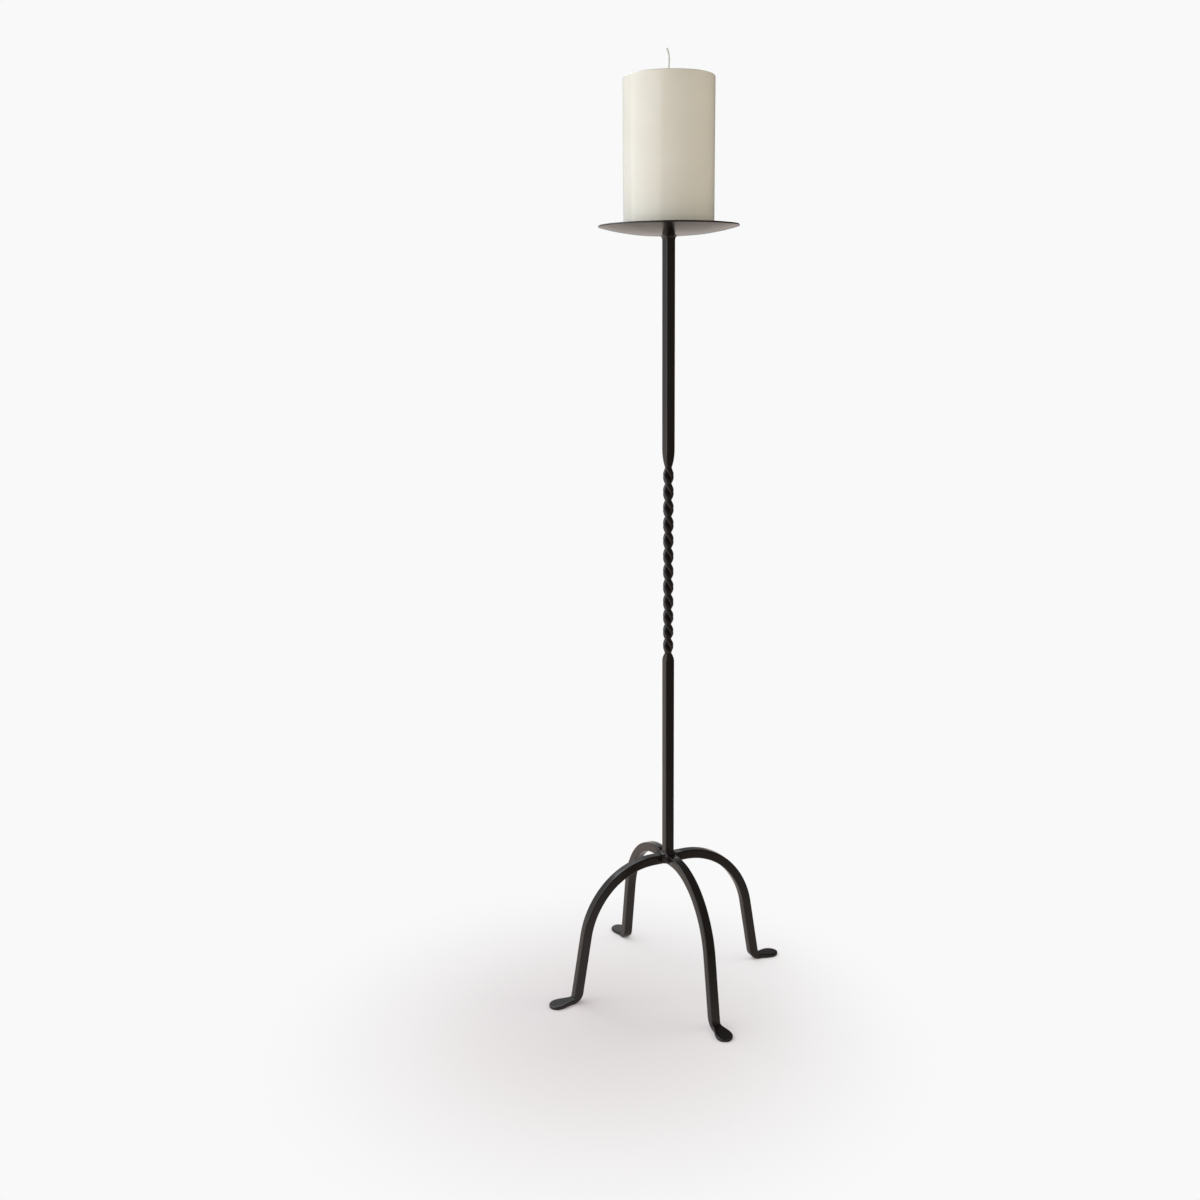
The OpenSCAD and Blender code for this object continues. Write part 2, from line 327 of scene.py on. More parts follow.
def forged(stations, seed, hammering):
    """A bar through stations of (centre, across, side, width, depth, edge radius), with
    dents of the hammering's (depth, size). across and side are unit vectors."""
    dent_depth, dent_size = hammering
    rings = []
    for centre, across, side, width, thickness, edge_r in stations:
        flat, out = bar_section(width, thickness, edge_r)
        across, side = np.array(across), np.array(side)
        points = np.array(centre) + flat[:, :1] * across + flat[:, 1:] * side
        normals = out[:, :1] * across + out[:, 1:] * side
        rings.append(points - normals * (dent_depth * dents(points, dent_size, seed))[:, None])
    return skin(np.array(rings))


# ---- the stem ----


def stem_stations(heights, widths, turn):
    """Stations along the stem's axis. The edges get rounder as the bar is drawn down."""
    across = (cos(turn), sin(turn), 0)
    side = (-sin(turn), cos(turn), 0)
    drawn = [(BAR_W - w) / (BAR_W - TIP_W) for w in widths]
    edges = [BAR_EDGE_R + (TIP_EDGE_R - BAR_EDGE_R) * min(1, s) for s in drawn]
    return [((0, 0, z), across, side, w, w, r) for z, w, r in zip(heights, widths, edges)]


def shoulder(s):
    """Width of a drawn-down end, from the full bar at s = 0 to the tip at s = 1."""
    return TIP_W + (BAR_W - TIP_W) * (1 - s**TAPER_BULGE)


def stem_bar(name, low, high, taper_l, tapered_at_top, turn, seed):
    """A length of the stem, drawn down to a tip at its top or at its bottom. The tip's
    last, narrower section lies a little way into the twist and rounds off its end."""
    steps = round((high - low - taper_l) / STEM_STEP)
    plain = np.linspace(0, high - low - taper_l, steps)
    taper = np.linspace(0, 1, TAPER_STEPS)[1:]
    along = np.concatenate([plain, plain[-1] + taper * taper_l, [high - low + TIP_ROUND]])
    widths = [BAR_W] * len(plain) + [shoulder(s) for s in taper] + [TIP_W - 2 * TIP_ROUND]
    heights = low + along if tapered_at_top else high - along
    return object_from(name, *forged(stem_stations(heights, widths, turn), seed, STEM_DENTS))


def twist_strand(name, start, seed):
    """One of the two strands, which wind left-handed round the stem's axis."""
    length = TWIST_TOP - TWIST_BOTTOM
    end_w = (STRAND_W - STRAND_GAP) / 2
    stations = []
    for z in np.linspace(0, length, STRAND_STEPS * HALF_TURNS + 1):
        s = min(1, min(z, length - z) / STRAND_END_L)
        thickness = end_w + (STRAND_T - end_w) * s * s * (3 - 2 * s)
        along = z / length
        turned = along + TWIST_TIGHTEN * along * (1 - along)
        a = start - pi * HALF_TURNS * turned
        across = np.array([cos(a), sin(a), 0])
        side = np.array([-sin(a), cos(a), 0])
        # The strands press against each other, so they reach to the axis.
        outer = thickness + STRAND_GAP / 2
        centre = across * outer / 2 + np.array([0, 0, TWIST_BOTTOM + z])
        edge_r = min(STRAND_EDGE_R, STRAND_ROUND * outer)
        stations.append((centre, across, side, outer, STRAND_W, edge_r))
    return object_from(name, *forged(stations, seed, STRAND_DENTS))


# ---- the legs ----

# Centres and joints of a leg's curves, as (distance from the axis, height).
ARCH_C1 = np.array([LEG_RUN, HUB_MIDDLE - ARCH_R1])
ARCH_C2 = ARCH_C1 + (ARCH_R1 - ARCH_R2) * np.array([sin(ARCH_A1), cos(ARCH_A1)])
SHIN_SIDE = np.array([sin(SHIN_A), cos(SHIN_A)])
SHIN_TOP = ARCH_C2 + ARCH_R2 * SHIN_SIDE
SHIN_L = (SHIN_TOP[1] - HEEL_R + (HEEL_R - BAR_W / 2) * cos(SHIN_A)) / sin(SHIN_A)
SHIN_END = SHIN_TOP + SHIN_L * np.array([cos(SHIN_A), -sin(SHIN_A)])
HEEL_C = SHIN_END + (HEEL_R - BAR_W / 2) * SHIN_SIDE
CREASE_H = PAD_T + CREASE_R
CREASE_C = np.array(
    [
        HEEL_C[0]
        + (BAR_W - HEEL_R + CREASE_R - (CREASE_H - HEEL_R) * cos(SHIN_A)) / sin(SHIN_A),
        CREASE_H,
    ]
)


def leg_station(under, over, width, edge_r, off):
    """A station of a leg that runs along +X, from its underside's point to its top's."""
    under, over = np.array(under), np.array(over)
    t = np.linalg.norm(over - under)
    x, z = (under + over) / 2
    across = np.array([(over - under)[0], 0, (over - under)[1]]) / t
    centre = np.array([x, max(0, x - LEG_RUN) * tan(off), z])
    return centre, across, np.array([0, 1, 0]), t, width, edge_r


def arch_station(centre, r, a, off):
    """A station of plain bar at the angle a from upright on an arc's middle line."""
    side = np.array([sin(a), cos(a)])
    under = centre + (r - BAR_W / 2) * side
    over = centre + (r + BAR_W / 2) * side
    return leg_station(under, over, BAR_W, BAR_EDGE_R, off)


def heel_station(s, off):
    """The bend at the heel: the sole rolls round it while the top folds at the crease."""
    a = SHIN_A * (1 - s)
    b = SHIN_A * (2 - 2 * s)
    shin_over = SHIN_END + BAR_W / 2 * SHIN_SIDE
    crease_over = CREASE_C - CREASE_R * SHIN_SIDE
    if s < 0.5:
        over = shin_over + (crease_over - shin_over) * 2 * s
    else:
        over = CREASE_C - CREASE_R * np.array([sin(b), cos(b)])
    under = HEEL_C - HEEL_R * np.array([sin(a), cos(a)])
    width = BAR_W + (PAD_W - BAR_W) * HEEL_FLARE * s * s
    return leg_station(under, over, width, BAR_EDGE_R, off)


def pad_station(s, off):
    """The pad: it thins and widens towards a rounded tip."""
    round_l = PAD_W / 2
    x = PAD_L * s
    flare = min(1, HEEL_FLARE + (1 - HEEL_FLARE) * x / (PAD_L - round_l))
    end = max(0, x - PAD_L + round_l) / round_l
    width = BAR_W + (PAD_W - BAR_W) * flare * flare * (3 - 2 * flare)
    width *= sqrt(1 - (1 - PAD_BLUNT**2) * end * end)
    t = PAD_T + (PAD_TIP_T - PAD_T) * s
    over_x = CREASE_C[0] + (HEEL_C[0] + PAD_L - CREASE_C[0]) * s
    edge_r = min(BAR_EDGE_R, PAD_ROUND * t)
    return leg_station((HEEL_C[0] + x, 0), (over_x, t), width, edge_r, off)


def leg(name, direction, off, seed):
    """A leg: run, arch, shin, heel and pad in one bar."""
    arch_top = np.linspace(0, ARCH_A1, ARCH_TOP_STEPS)
    arch_side = np.linspace(ARCH_A1, SHIN_A, ARCH_SIDE_STEPS)[1:]
    foot = np.linspace(0, 1, FOOT_STEPS)
    stations = [arch_station(np.array([BAR_W / 2, ARCH_C1[1]]), ARCH_R1, 0, off)]
    stations += [arch_station(ARCH_C1, ARCH_R1, a, off) for a in arch_top]
    stations += [arch_station(ARCH_C2, ARCH_R2, a, off) for a in arch_side]
    for s in np.linspace(0, 1, SHIN_STEPS)[1:-1]:
        place = SHIN_TOP + (SHIN_END - SHIN_TOP) * s
        stations.append(arch_station(place - ARCH_R2 * SHIN_SIDE, ARCH_R2, SHIN_A, off))
    stations += [heel_station(s, off) for s in foot]
    # The pad's stations lie closer together towards its round tip.
    stations += [pad_station(sin(s * pi / 2), off) for s in foot[1:]]
    points, faces = forged(stations, seed, LEG_DENTS)
    points[:, 2] = np.maximum(points[:, 2], 0)
    made = object_from(name, points, faces)
    made.data.transform(Matrix.Rotation(radians(direction), 4, "Z"))
    return made


# ---- welds ----


def fillet_bead(corner, along, first, second, length, size, seed):
    """A hollow weld bead in the corner between two faces. It runs along one unit vector,
    thins out at both ends, and its section opens along the two others."""
    corner, along = np.array(corner), np.array(along)
    first, second = np.array(first), np.array(second)
    rings = []
    for s in np.linspace(-1, 1, BEAD_STEPS):
        full = WELD_TOE + (size - WELD_TOE) * sqrt(1 - WELD_THINNING * s**4)
        arc = [
            (full - (full - WELD_TOE) * sin(t), full - (full - WELD_TOE) * cos(t))
            for t in np.linspace(0, pi / 2, BEAD_ARC_STEPS)
        ]
        outline = [(-WELD_ROOT, -WELD_ROOT), (full, -WELD_ROOT), *arc, (-WELD_ROOT, full)]
        middle = corner + along * s * length / 2
        points = np.array([middle + first * u + second * v for u, v in outline])
        lumps = dents(points, WELD_LUMP_SIZE, seed) - 0.5
        # The root's points, inside the bars, keep still.
        lumps[:2] = 0
        lumps[-1] = 0
        rings.append(points + np.outer(lumps * WELD_LUMP, (first + second) / sqrt(2)))
    return skin(np.array(rings))


def hub_beads(name):
    """The beads on top of the legs against the stem, and those between the legs."""
    beads = []
    for k in range(4):
        turn = np.array(Matrix.Rotation(k * pi / 2, 3, "Z"))
        x, y, z = turn @ (1, 0, 0), turn @ (0, 1, 0), np.array([0, 0, 1])
        top = x * BAR_W / 2 + z * HUB_TOP
        beads.append(fillet_bead(top, y, x, z, BAR_W, HUB_WELD, k))
        corner = (x + y) * BAR_W / 2 + z * HUB_MIDDLE
        beads.append(fillet_bead(corner, z, x, y, BAR_W, CORNER_WELD, 9 + k))
    return joined(name, beads)


def pan_bead(name):
    """The bead round the stem's top. It grows out of the square bar and flares out to
    a round edge against the pan's underside. It closes inside the bar and the pan."""
    bottom = SEAT_H - PAN_WELD_H
    top = SEAT_H + PAN_WALL / 3
    corner_r = BAR_W / sqrt(2) - BAR_EDGE_R * (sqrt(2) - 1)
    turns = np.arange(PAN_BEAD_TURNS) * 2 * pi / PAN_BEAD_TURNS
    sides = np.maximum(abs(np.cos(turns - UPPER_TURN)), abs(np.sin(turns - UPPER_TURN)))
    bar_r = np.minimum(BAR_W / 2 / sides, corner_r)
    rounds = [
        (PAN_BEAD_CORE * bar_r, bottom - 2 * WELD_ROOT),
        (bar_r - PAN_BEAD_INSET, bottom - WELD_ROOT),
    ]
    rounds += [
        (bar_r + (PAN_BEAD_R - bar_r) * (1 - cos(t)), bottom + PAN_WELD_H * sin(t))
        for t in np.linspace(0, pi / 2, PAN_BEAD_STEPS)
    ]
    rounds += [(0 * turns + PAN_BEAD_R - WELD_ROOT, top), (PAN_BEAD_CORE * bar_r, top)]
    rings = np.array(
        [np.stack([r * np.cos(turns), r * np.sin(turns), 0 * r + h], axis=1) for r, h in rounds]
    )
    points, faces = skin(rings)
    lumps = (dents(points, WELD_LUMP_SIZE, seed=31) - 0.5) * WELD_LUMP
    return object_from(name, points + away_from_axis(points) * lumps[:, None], faces)


# ---- the pan, the candle and the wick ----


def drip_pan(name):
    """The dished pan, beaten from sheet: a flat seat, a round bowl and a straight flare,
    with a cut edge."""
    bowl_curve_r = (PAN_BOWL_R - PAN_SEAT_R) / sin(PAN_SLOPE)
    lip_r = PAN_WALL / 2
    lip_c = (PAN_R - lip_r, RIM_H - SEAT_H - lip_r)

    def bowl(lift):
        r = bowl_curve_r - lift
        return [
            (PAN_SEAT_R + r * sin(a), lift + r * (1 - cos(a)))
            for a in np.linspace(0, PAN_SLOPE, PAN_BOWL_STEPS)
        ]

    def flare(lift):
        low = bowl(lift)[-1]
        high = (
            lip_c[0] + (lip_r - lift) * sin(PAN_SLOPE),
            lip_c[1] - (lip_r - lift) * cos(PAN_SLOPE),
        )
        return [
            (low[0] + (high[0] - low[0]) * s, low[1] + (high[1] - low[1]) * s)
            for s in (1 / 3, 2 / 3)
        ]

    # The cut edge is nearly flat, with its two corners rubbed round.
    lip = []
    for a in np.linspace(-pi / 2, pi / 2, PAN_LIP_STEPS):
        out = lip_r * sqrt(max(0, cos(a)))
        up = lip_r * np.sign(sin(a)) * sqrt(abs(sin(a)))
        lip.append(
            (
                lip_c[0] + out * cos(PAN_SLOPE) - up * sin(PAN_SLOPE),
                lip_c[1] + out * sin(PAN_SLOPE) + up * cos(PAN_SLOPE),
            )
        )
    under = [(PAN_HOLE_R, 0), (PAN_SEAT_R / 2, 0), *bowl(0), *flare(0)]
    upper = [*bowl(PAN_WALL), *flare(PAN_WALL)][::-1]
    upper += [(PAN_SEAT_R / 2, PAN_WALL), (PAN_HOLE_R, PAN_WALL)]
    points, faces = lathe([(r, SEAT_H + h) for r, h in under + lip + upper], PAN_TURNS)
    # The hammer's waves die away in the third of the bowl next to the seat.
    spread = np.linalg.norm(points[:, :2], axis=1)
    share = np.clip((spread - PAN_SEAT_R) / (PAN_R - PAN_SEAT_R), 0, 1)
    waves = dents(points * (1, 1, 0), PAN_WAVE_SIZE, seed=41) - 0.5
    points[:, 2] += waves * PAN_WAVE * np.minimum(1, 3 * share)
    return object_from(name, points, faces)


def candle_body(name):
    """The poured pillar: soft edges, a shallow dip round the wick, and a tapered socket
    in its foot for the spike, which runs on as the wick's hole."""

    def edge(height, r, start):
        return [
            (CANDLE_R - r + r * cos(a), height + r * sin(a))
            for a in np.linspace(start, start + pi / 2, CANDLE_EDGE_STEPS)
        ]

    heights = np.linspace(CANDLE_BOTTOM, CANDLE_TOP, CANDLE_STEPS)[2:-2]
    top = [
        (r, CANDLE_TOP - CANDLE_DIP_H * (1 + cos(pi * min(1, r / CANDLE_DIP_R))) / 2)
        for r in np.linspace(CANDLE_R - CANDLE_EDGE_R, CANDLE_BORE_R, CANDLE_STEPS)[1:]
    ]
    profile = [
        (CANDLE_BORE_R, CANDLE_BOTTOM + CANDLE_SOCKET_L),
        (CANDLE_SOCKET_R, CANDLE_BOTTOM),
        *edge(CANDLE_BOTTOM + CANDLE_FOOT_R, CANDLE_FOOT_R, -pi / 2),
        *[(CANDLE_R, z) for z in heights],
        *edge(CANDLE_TOP - CANDLE_EDGE_R, CANDLE_EDGE_R, 0),
        *top,
    ]
    points, faces = lathe(profile, CANDLE_TURNS)
    # Long shallow hollows and no bumps, so that the candle stays within its size.
    stretched = points * (1, 1, CANDLE_HOLLOW_STRETCH)
    hollows = (dents(stretched, CANDLE_HOLLOW_SIZE, seed=51) - 1) * CANDLE_HOLLOW
    return object_from(name, points + away_from_axis(points) * hollows[:, None], faces)


def wick_line(s):
    """Middle of the wick at the share s of its length, from its root in the wax. It
    sways a little and then bends over."""
    start = CANDLE_TOP - WICK_ROOT_L
    along = s * WICK_L
    sway = -WICK_SET - WICK_SWAY * cos(along / WICK_SWAY_L)
    if along <= WICK_STRAIGHT:
        return np.array([sway, 0, start + along])
    a = (along - WICK_STRAIGHT) / WICK_BEND_R
    reach = WICK_BEND_R * (1 - cos(a))
    return np.array([sway - reach, 0, start + WICK_STRAIGHT + WICK_BEND_R * sin(a)])


def wick_braid(name):
    """Three cotton plies, braided flat, whose ends spread a little at the tip."""
    turns = np.arange(PLY_SIDES) * 2 * pi / PLY_SIDES
    first = np.array([0, 1, 0])
    plies = []
    for k in range(PLY_COUNT):
        rings = []
        for s in np.linspace(0, BRAID_END, WICK_STEPS):
            turn = 2 * pi * (s * WICK_L / BRAID_PITCH + k / PLY_COUNT)
            spread = 1 + FRAY_SPREAD * max(0, s - FRAY_START) / (1 - FRAY_START)
            middle = wick_line(s)
            ahead = wick_line(s + LOOK_AHEAD) - middle
            second = np.cross(ahead / np.linalg.norm(ahead), first)
            woven = BRAID_W * sin(turn) * first + BRAID_T * sin(2 * turn) * second
            centre = middle + spread * woven
            r = PLY_R * (1 if s < FRAY_TIP else FRAY_TIP_R)
            rings.append([centre + r * (cos(t) * first + sin(t) * second) for t in turns])
        plies.append(skin(np.array(rings)))
    return joined(name, plies)


# ---- materials ----


def linear(hex_colour):
    """An sRGB hex colour as linear RGBA."""
    values = [int(hex_colour[i : i + 2], 16) / 255 for i in (1, 3, 5)]
    return (*[v / 12.92 if v <= 0.04045 else ((v + 0.055) / 1.055) ** 2.4 for v in values], 1)


def add(tree, kind, inputs=None, **settings):
    """Adds a node. An input is a value, or the socket that it is linked to."""
    made = tree.nodes.new(kind)
    for key, value in settings.items():
        setattr(made, key, value)
    for key, value in (inputs or {}).items():
        if isinstance(value, bpy.types.NodeSocket):
            tree.links.new(value, made.inputs[key])
        else:
            made.inputs[key].default_value = value
    return made


def new_material(name):
    """An empty node material and its tree."""
    material = bpy.data.materials.new(name)
    material.use_nodes = True
    material.node_tree.nodes.clear()
    return material, material.node_tree


def satin_black_forged_steel():
    """Hot-forged mild steel under satin black paint: near-black and a little warm, with
    a soft sheen that breaks up over the paint's fine grain and the hammer's flats."""
    material, tree = new_material("satin_black_forged_steel")
    place = add(tree, "ShaderNodeTexCoord").outputs["Object"]
    # The paint's colour changes a little over 28 mm, and its sheen over 9 mm.
    patches = add(tree, "ShaderNodeTexNoise", {"Vector": place, "Scale": 1 / (28 * MM)})
    colour = add(
        tree,
        "ShaderNodeMix",
        {"Factor": patches.outputs["Fac"], "A": linear("#16120f"), "B": linear("#1d1815")},
        data_type="RGBA",
    )
    gloss = add(tree, "ShaderNodeTexNoise", {"Vector": place, "Scale": 1 / (9 * MM)})
    sheen = add(
        tree,
        "ShaderNodeMapRange",
        {"Value": gloss.outputs["Fac"], "To Min": 0.15, "To Max": 0.22},
    )
    # The hammer's flats, 7 mm across.
    flats = add(
        tree, "ShaderNodeTexNoise", {"Vector": place, "Scale": 1 / (7 * MM), "Detail": 1.0}
    )
    hammer = add(
        tree, "ShaderNodeBump", {"Height": flats.outputs["Fac"], "Distance": 0.015 * MM}
    )
    # Paint grain of 0.6 mm, drawn at twice its real size so that it shows.
    specks = add(tree, "ShaderNodeTexNoise", {"Vector": place, "Scale": 1 / (1.2 * MM)})
    grain = add(
        tree,
        "ShaderNodeBump",
        {
            "Height": specks.outputs["Fac"],
            "Distance": 0.003 * MM,
            "Normal": hammer.outputs["Normal"],
        },
    )
    surface = add(
        tree,
        "ShaderNodeBsdfPrincipled",
        {
            "Base Color": colour.outputs["Result"],
            "Roughness": sheen.outputs["Result"],
            "IOR": 1.5,
            "Normal": grain.outputs["Normal"],
        },
    )
    add(tree, "ShaderNodeOutputMaterial", {"Surface": surface.outputs["BSDF"]})
    return material


def poured_ivory_wax():
    """Paraffin wax, poured and smooth: light sinks in a few millimetres and comes out
    warmer, and the skin has a clear shine."""
    material, tree = new_material("poured_ivory_wax")
    place = add(tree, "ShaderNodeTexCoord").outputs["Object"]
    # Faint clouds of 35 mm in the wax, and ripples of 6 mm in its skin.
    clouds = add(
        tree, "ShaderNodeTexNoise", {"Vector": place, "Scale": 1 / (35 * MM), "Detail": 3.0}
    )
    colour = add(
        tree,
        "ShaderNodeMix",
        {"Factor": clouds.outputs["Fac"], "A": linear("#e8e4d8"), "B": linear("#e1dccc")},
        data_type="RGBA",
    )
    waves = add(
        tree, "ShaderNodeTexNoise", {"Vector": place, "Scale": 1 / (6 * MM), "Detail": 1.0}
    )
    ripple = add(
        tree, "ShaderNodeBump", {"Height": waves.outputs["Fac"], "Distance": 0.012 * MM}
    )
    surface = add(
        tree,
        "ShaderNodeBsdfPrincipled",
        {
            "Base Color": colour.outputs["Result"],
            "Roughness": 0.1,
            "IOR": 1.44,
            "Subsurface Weight": 0.35,
            "Subsurface Radius": (1.0, 0.85, 0.65),
            "Subsurface Scale": 3 * MM,
            "Normal": ripple.outputs["Normal"],
        },
    )
    add(tree, "ShaderNodeOutputMaterial", {"Surface": surface.outputs["BSDF"]})
    return material


def braided_cotton():
    """Bleached cotton yarn, stiff with a trace of wax: matt, pale and faintly grey, with
    fibres of about 0.35 mm."""
    material, tree = new_material("braided_cotton")
    place = add(tree, "ShaderNodeTexCoord").outputs["Object"]
    fibre = add(tree, "ShaderNodeTexNoise", {"Vector": place, "Scale": 1 / (0.35 * MM)})
    colour = add(
        tree,
        "ShaderNodeMix",
        {"Factor": fibre.outputs["Fac"], "A": linear("#cfcbc4"), "B": linear("#e4e1db")},
        data_type="RGBA",
    )
    fuzz = add(
        tree, "ShaderNodeBump", {"Height": fibre.outputs["Fac"], "Distance": 0.08 * MM}
    )
    surface = add(
        tree,
        "ShaderNodeBsdfPrincipled",
        {
            "Base Color": colour.outputs["Result"],
            "Roughness": 0.85,
            "Normal": fuzz.outputs["Normal"],
        },
    )
    add(tree, "ShaderNodeOutputMaterial", {"Surface": surface.outputs["BSDF"]})
    return material


# ---- studio ----

CAMERA_BACK = Vector((-sin(CAMERA_TURN), -cos(CAMERA_TURN), 0))
CAMERA_RIGHT = Vector((cos(CAMERA_TURN), -sin(CAMERA_TURN), 0))
STAND_MIDDLE = Vector((0, 0, 0.5))
BACKDROP = linear("#f9f9f9")
DAYLIGHT = linear("#f0f6ff")
ROOM_LIGHT = linear("#fff9ec")

# The floor's own colour, and the colour that the steel's gloss shows of it.
FLOOR_PAPER = linear("#f0e5e3")
FLOOR_IN_GLOSS = linear("#fff1e8")
FLOOR_HALF = 6.0
FLOOR_GAP = 0.05 * MM

# Painted shade on the floor: in a pool round this place the glow gives way to paper that is
# darker than the backdrop, so the floor darkens there even where no shadow falls. The paper
# also takes the lamps' real shadow.
# Places are given by degrees to the right of the camera's side, distance and height.
PAINTED_SHADE_MIDDLE = (-38, 0.13, 0)
PAINTED_SHADE_R = 0.37
PAINTED_SHADE_LEAST_GLOW = 0.26
# How far the ambient occlusion round the feet reaches; it paints contact shade on the floor.
PAINTED_CONTACT_SHADE_REACH = 120 * MM

# Light that changes along a direction: the direction's degrees to the right of the
# camera's side, where the change begins and ends, and the levels there.
PALE_WALL = (215, (0.6, 0.8), (0.12, 0.6))
LIT_FLOOR = (49, (-0.6, 0.8), (0.78, 0.1))

# Each softbox: its place, its width and height, how bright its face is, where white
# paper is 1, its colour, and whether gloss shows it.
SOFTBOXES = {
    "left_softbox": ((-66, 1.6, 0.9), (3.0, 1.6), 1.45, DAYLIGHT, True),
    "high_left_softbox": ((-110, 1.5, 2.0), (2.4, 1.4), 1.9, DAYLIGHT, True),
    "high_back_softbox": ((-150, 1.5, 1.9), (1.6, 1.2), 1.2, DAYLIGHT, True),
    "right_card": ((95, 1.7, 1.1), (1.4, 1.6), 1.75, ROOM_LIGHT, False),
    "front_softbox": ((0, 2.4, 0.7), (1.6, 1.2), 2.9, ROOM_LIGHT, False),
}


def from_camera(angle, distance, height):
    """A place round the stand, at an angle to the right of the camera's side."""
    a = radians(angle)
    place = (CAMERA_BACK * cos(a) + CAMERA_RIGHT * sin(a)) * distance
    return Vector((place.x, place.y, height))


def softbox(name, place, size, strength, colour, in_gloss):
    """A rectangular lamp that faces the stand's middle."""
    light = bpy.data.lights.new(name, "AREA")
    light.shape = "RECTANGLE"
    light.size, light.size_y = size
    light.energy = strength * pi * size[0] * size[1]
    light.color = colour[:3]
    made = bpy.data.objects.new(name, light)
    made.location = place
    made.rotation_euler = (STAND_MIDDLE - place).to_track_quat("-Z", "Y").to_euler()
    made.visible_camera = False
    made.visible_glossy = in_gloss
    bpy.context.scene.collection.objects.link(made)


def towards(tree, vector, angle, reach, levels):
    """A level that goes over from the first to the second as a vector's reach in one
    direction, an angle to the right of the camera's side, goes over its own range."""
    along = add(
        tree,
        "ShaderNodeVectorMath",
        {0: vector, 1: from_camera(angle, 1, 0)},
        operation="DOT_PRODUCT",
    )
    step = add(
        tree,
        "ShaderNodeMapRange",
        {
            "Value": along.outputs["Value"],
            "From Min": reach[0],
            "From Max": reach[1],
            "To Min": levels[0],
            "To Max": levels[1],
        },
        interpolation_type="SMOOTHSTEP",
    )
    return step.outputs["Result"]


def studio_world():
    """Dim all round, with a paler wall behind the stand on the left. The camera sees the
    plain backdrop."""
    world = bpy.data.worlds.new("studio")
    bpy.context.scene.world = world
    world.use_nodes = True
    tree = world.node_tree
    tree.nodes.clear()
    coords = add(tree, "ShaderNodeTexCoord")
    path = add(tree, "ShaderNodeLightPath")
    wall = towards(tree, coords.outputs["Generated"], *PALE_WALL)
    strength = add(
        tree,
        "ShaderNodeMath",
        {0: wall, 1: path.outputs["Is Camera Ray"]},
        operation="MAXIMUM",
    )
    light = add(
        tree,
        "ShaderNodeBackground",
        {"Color": BACKDROP, "Strength": strength.outputs[0]},
    )
    add(tree, "ShaderNodeOutputWorld", {"Surface": light.outputs[0]})


def floor_material():
    """Pale paper that takes the stand's real shadow from the lamps. In a pool round the legs
    and close to the feet the glow gives way to this paper, which is darker than the
    backdrop, so shade is painted there as well. Elsewhere the camera sees the plain
    backdrop, and the steel's gloss a floor that is brightest behind on the left."""
    material, tree = new_material("pale_floor")
    place = add(tree, "ShaderNodeNewGeometry")
    reach = add(
        tree,
        "ShaderNodeVectorMath",
        {0: place.outputs["Position"], 1: from_camera(*PAINTED_SHADE_MIDDLE)},
        operation="DISTANCE",
    )
    # Painted shade: the glow's share falls towards the pool's middle, darkening the floor there
    # whether or not a shadow falls.
    painted_shade_fade = add(
        tree,
        "ShaderNodeMapRange",
        {
            "Value": reach.outputs["Value"],
            "From Min": 0.0,
            "From Max": PAINTED_SHADE_R,
            "To Min": PAINTED_SHADE_LEAST_GLOW,
            "To Max": 1.0,
        },
        interpolation_type="SMOOTHSTEP",
    )
    path = add(tree, "ShaderNodeLightPath")
    clear = add(
        tree,
        "ShaderNodeMath",
        {0: path.outputs["Is Glossy Ray"], 1: path.outputs["Is Transmission Ray"]},
        operation="ADD",
    )
    seen = add(
        tree,
        "ShaderNodeMath",
        {0: path.outputs["Is Camera Ray"], 1: clear.outputs[0]},
        operation="ADD",
        use_clamp=True,
    )
    # Painted contact shade: ambient occlusion near the feet lowers the glow's share, darkening
    # the floor there whether or not a shadow falls.
    painted_contact_shade = add(tree, "ShaderNodeAmbientOcclusion", {"Distance": PAINTED_CONTACT_SHADE_REACH})
    glow_share_after_painted_shade = add(
        tree,
        "ShaderNodeMath",
        {0: painted_shade_fade.outputs["Result"], 1: painted_contact_shade.outputs["AO"]},
        operation="MULTIPLY",
    )
    share = add(
        tree,
        "ShaderNodeMath",
        {0: glow_share_after_painted_shade.outputs[0], 1: seen.outputs[0]},
        operation="MULTIPLY",
    )
    strength = add(
        tree,
        "ShaderNodeMath",
        {
            0: towards(tree, place.outputs["Position"], *LIT_FLOOR),
            1: path.outputs["Is Camera Ray"],
        },
        operation="MAXIMUM",
    )
    paper = add(tree, "ShaderNodeBsdfDiffuse", {"Color": FLOOR_PAPER})
    tint = add(
        tree,
        "ShaderNodeMix",
        {"Factor": path.outputs["Is Camera Ray"], "A": FLOOR_IN_GLOSS, "B": BACKDROP},
        data_type="RGBA",
    )
    glow = add(
        tree,
        "ShaderNodeEmission",
        {"Color": tint.outputs["Result"], "Strength": strength.outputs[0]},
    )
    mixed = add(
        tree,
        "ShaderNodeMixShader",
        {0: share.outputs[0], 1: paper.outputs[0], 2: glow.outputs[0]},
    )
    add(tree, "ShaderNodeOutputMaterial", {"Surface": mixed.outputs[0]})
    return material


def studio():
    """The floor, the softboxes and the world."""
    signs = [(-1, -1), (1, -1), (1, 1), (-1, 1)]
    corners = [(x * FLOOR_HALF, y * FLOOR_HALF, -FLOOR_GAP) for x, y in signs]
    floor = object_from("floor", corners, [(0, 1, 2, 3)])
    floor.data.materials.append(floor_material())
    for name, (place, size, strength, colour, in_gloss) in SOFTBOXES.items():
        softbox(name, from_camera(*place), size, strength, colour, in_gloss)
    studio_world()


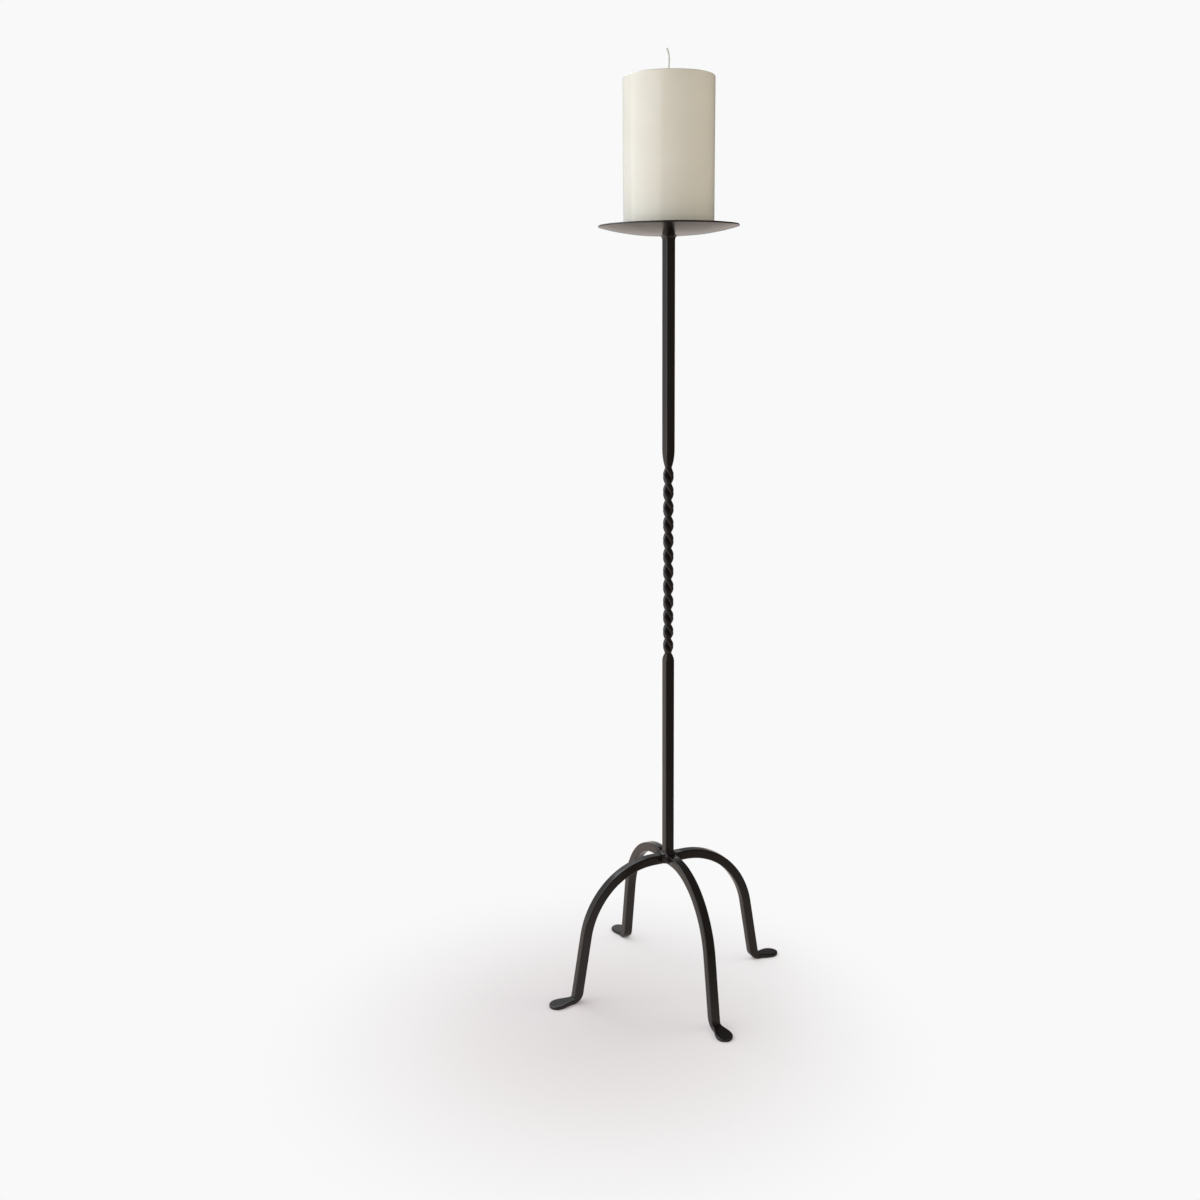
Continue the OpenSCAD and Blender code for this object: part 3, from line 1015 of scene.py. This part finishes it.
def camera():
    """The photograph's camera."""
    scene = bpy.context.scene
    data = bpy.data.cameras.new("camera")
    data.sensor_fit = "HORIZONTAL"
    data.sensor_width = SENSOR_W
    data.lens = SENSOR_W * FOCAL_PX / IMAGE_W
    data.clip_start = CLIP_START
    made = bpy.data.objects.new("camera", data)
    turn = Matrix.Rotation(-CAMERA_TURN, 4, "Z")
    pitch = Matrix.Rotation(pi / 2 - CAMERA_PITCH, 4, "X")
    roll = Matrix.Rotation(CAMERA_ROLL, 4, "Z")
    made.matrix_world = Matrix.Translation(CAMERA_PLACE) @ turn @ pitch @ roll
    scene.collection.objects.link(made)
    scene.camera = made


# ---- the stand, put together ----


def dress(piece, body, slot, material, *nodes):
    """Gives a piece its body, its finish and the nodes that it stands for."""
    piece.data.materials.clear()
    piece.data.materials.append(material)
    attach(piece, body)
    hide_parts(*nodes)


def main():
    """Makes the studio and every piece. The last number of a steel piece seeds its dents."""
    camera()
    studio()
    bpy.context.scene.view_settings.view_transform = "Standard"

    steel = satin_black_forged_steel()
    steel_pieces = [
        (stem_bar("lower_bar_forged", HUB_BOTTOM, TWIST_BOTTOM, LOWER_TAPER_L, True, 0, 1),
         "lower_bar"),
        (stem_bar("upper_bar_forged", TWIST_TOP, SEAT_H, UPPER_TAPER_L, False, UPPER_TURN, 2),
         "upper_bar"),
        (twist_strand("twist_strand_a_forged", TWIST_START, 3), "twist_strand_a"),
        (twist_strand("twist_strand_b_forged", TWIST_START + pi, 4), "twist_strand_b"),
        (hub_beads("hub_weld_beads"), "hub_welds"),
        (pan_bead("pan_weld_rippled"), "pan_weld_bead"),
        (drip_pan("drip_pan_beaten"), "drip_pan"),
    ]
    for seed, (node, (direction, off)) in enumerate(LEGS.items(), start=5):
        steel_pieces.append((leg(node + "_forged", direction, radians(off), seed), node))
    for piece, node in steel_pieces:
        dress(piece, "stand", "black_steel", steel, node)

    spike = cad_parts["candle_spike"]
    spike.data.materials.clear()
    spike.data.materials.append(steel)

    wax = candle_body("candle_wax_poured")
    dress(wax, "candle", "ivory_wax", poured_ivory_wax(), "candle_wax")
    wick = wick_braid("candle_wick_braided")
    dress(wick, "candle", "cotton_wick", braided_cotton(), "candle_wick")


main()
